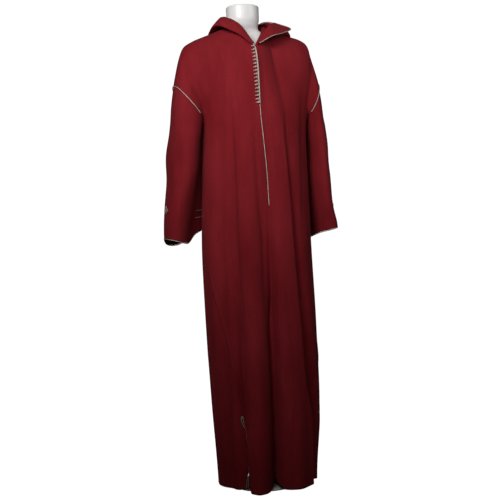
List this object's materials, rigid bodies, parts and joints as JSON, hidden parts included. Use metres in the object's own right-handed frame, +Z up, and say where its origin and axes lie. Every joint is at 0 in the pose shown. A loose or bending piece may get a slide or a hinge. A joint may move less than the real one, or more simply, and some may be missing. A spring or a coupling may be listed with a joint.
{
  "type": "hooded kaftan on a limbless dress form",
  "caption": "Long straight kaftan with a hood, dropped sleeves, knotted front opening and side slits, worn by a plain dress form with a neck, a pole and a round base.",
  "frame": {"origin": "middle of the underside of the form's base, on the floor", "axes": "+Z up, -Y towards the front of the garment, +X towards the wearer's left"},
  "size_m": [0.5719, 0.3426, 1.528],
  "materials": {
    "red_cloth": "matt brushed burgundy cloth with a short soft nap",
    "silver_cord": "twisted and braided silk cord, silver beige with a soft sheen",
    "form_shell": "smooth glossy white shell",
    "form_metal": "white enamelled steel"
  },
  "bodies": {
    "root": {"front": "red_cloth", "back": "red_cloth", "sleeve_right": "red_cloth", "sleeve_left": "red_cloth", "hood": "red_cloth", "placket_braid": "silver_cord", "front_cord": "silver_cord", "armhole_cord_right": "silver_cord", "armhole_cord_left": "silver_cord", "cuff_cord_right": "silver_cord", "cuff_cord_left": "silver_cord", "hood_cord": "silver_cord", "slit_cord_right": "silver_cord", "slit_cord_left": "silver_cord", "cuff_motif_right": "silver_cord", "cuff_motif_left": "silver_cord", "sleeve_bar_right_1": "silver_cord", "sleeve_bar_right_2": "silver_cord", "sleeve_bar_left_1": "silver_cord", "sleeve_bar_left_2": "silver_cord", "knot_01": "silver_cord", "knot_02": "silver_cord", "knot_03": "silver_cord", "knot_04": "silver_cord", "knot_05": "silver_cord", "knot_06": "silver_cord", "knot_07": "silver_cord", "knot_08": "silver_cord", "knot_09": "silver_cord", "knot_10": "silver_cord", "knot_11": "silver_cord", "knot_12": "silver_cord", "knot_13": "silver_cord", "knot_14": "silver_cord", "knot_15": "silver_cord", "knot_16": "silver_cord", "knot_17": "silver_cord", "form_torso": "form_shell", "form_pole": "form_metal", "form_base": "form_metal"}
  },
  "joints": []
}
